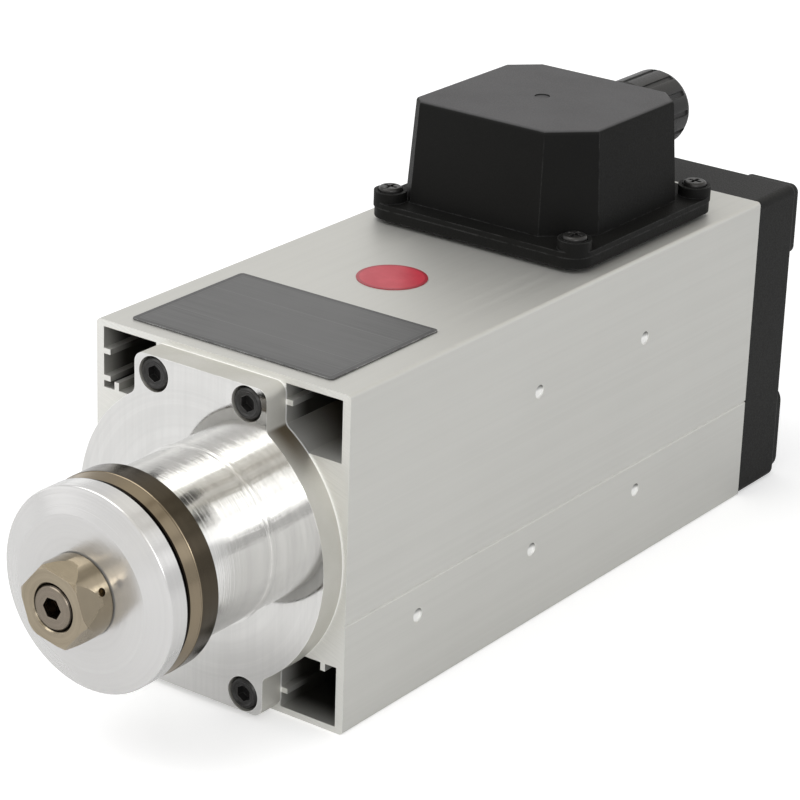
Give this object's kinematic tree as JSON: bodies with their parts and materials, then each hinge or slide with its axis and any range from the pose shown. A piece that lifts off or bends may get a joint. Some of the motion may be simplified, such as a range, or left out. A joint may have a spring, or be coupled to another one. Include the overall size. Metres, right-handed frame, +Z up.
{
  "type": "motor spindle",
  "caption": "Square air-cooled motor with a flanged nose spindle that clamps a small saw blade, with a terminal box on top and a fan cover behind.",
  "frame": {"origin": "on the spindle axis at the blade seat of the inner clamp flange", "axes": "+Y along the spindle axis from the nose to the fan, +Z up to the terminal box, +X right seen from the nose"},
  "size_m": [0.082, 0.2818, 0.128],
  "materials": {
    "extruded_aluminium": "satin, drawn along its length",
    "machined_aluminium": "bright, turned and milled",
    "cast_aluminium": "as cast",
    "black_steel": "black oxide",
    "zinc_steel": "zinc plated",
    "core_steel": "stacked sheet",
    "winding_copper": "varnished wire",
    "ground_steel": "ground",
    "bearing_steel": "polished",
    "bronzed_steel": "turned, brownish",
    "polished_steel": "finely turned, bright",
    "nut_steel": "bright, brownish",
    "fan_plastic": "moulded",
    "cover_plastic": "fine grain",
    "box_plastic": "fine grain",
    "gland_plastic": "satin",
    "block_plastic": "moulded",
    "stud_brass": "bright",
    "black_rubber": "matt",
    "plate_metal": "dark, faintly brushed",
    "sticker_film": "gloss"
  },
  "bodies": {
    "stator": {"housing": "extruded_aluminium", "front_end_bell": "machined_aluminium", "rear_end_bell": "cast_aluminium", "front_bell_screws": "black_steel", "rear_bell_screws": "black_steel", "stator_core": "core_steel", "stator_winding": "winding_copper", "front_bearing_outer_ring": "bearing_steel", "rear_bearing_outer_ring": "bearing_steel", "bearing_retaining_ring": "black_steel", "bearing_preload_ring": "bearing_steel", "fan_cover": "cover_plastic", "fan_cover_screws": "black_steel", "box_gasket": "black_rubber", "terminal_box_base": "box_plastic", "box_base_screws": "zinc_steel", "terminal_box_lid": "box_plastic", "lid_screws": "black_steel", "terminal_block": "block_plastic", "terminal_studs": "stud_brass", "gland_body": "gland_plastic", "gland_seal": "black_rubber", "gland_nut": "gland_plastic", "name_plate": "plate_metal", "round_sticker": "sticker_film"},
    "rotor": {"spindle_shaft": "ground_steel", "rotor_core": "core_steel", "rotor_cage": "cast_aluminium", "cooling_fan": "fan_plastic", "fan_retaining_ring": "black_steel", "inner_clamp_flange": "bronzed_steel", "flange_key": "ground_steel", "front_bearing_inner_ring": "bearing_steel", "rear_bearing_inner_ring": "bearing_steel"},
    "front_balls": {"front_bearing_balls": "bearing_steel"},
    "rear_balls": {"rear_bearing_balls": "bearing_steel"},
    "outer_flange": {"outer_clamp_flange": "polished_steel"},
    "clamp_nut": {"clamp_nut": "nut_steel"}
  },
  "joints": [
    {"name": "spindle_turn", "type": "hinge", "parent": "stator", "child": "rotor", "pos_m": [0, 0, 0], "axis": [0, 1, 0], "continuous": true},
    {"name": "front_cage_turn", "type": "hinge", "parent": "stator", "child": "front_balls", "pos_m": [0, 0, 0], "axis": [0, 1, 0], "continuous": true},
    {"name": "rear_cage_turn", "type": "hinge", "parent": "stator", "child": "rear_balls", "pos_m": [0, 0, 0], "axis": [0, 1, 0], "continuous": true},
    {"name": "flange_slide", "type": "slide", "parent": "rotor", "child": "outer_flange", "axis": [0, -1, 0], "range_m": [0, 0.005]},
    {"name": "nut_turn", "type": "hinge", "parent": "outer_flange", "child": "clamp_nut", "pos_m": [0, 0, 0], "axis": [0, -1, 0], "range_deg": [0, 1080]}
  ],
  "couplings": [
    {"joint": "front_cage_turn", "follows": "spindle_turn", "ratio": 0.3825},
    {"joint": "rear_cage_turn", "follows": "spindle_turn", "ratio": 0.382},
    {"joint": "nut_turn", "follows": "flange_slide", "rad_per_m": 3590.4}
  ]
}
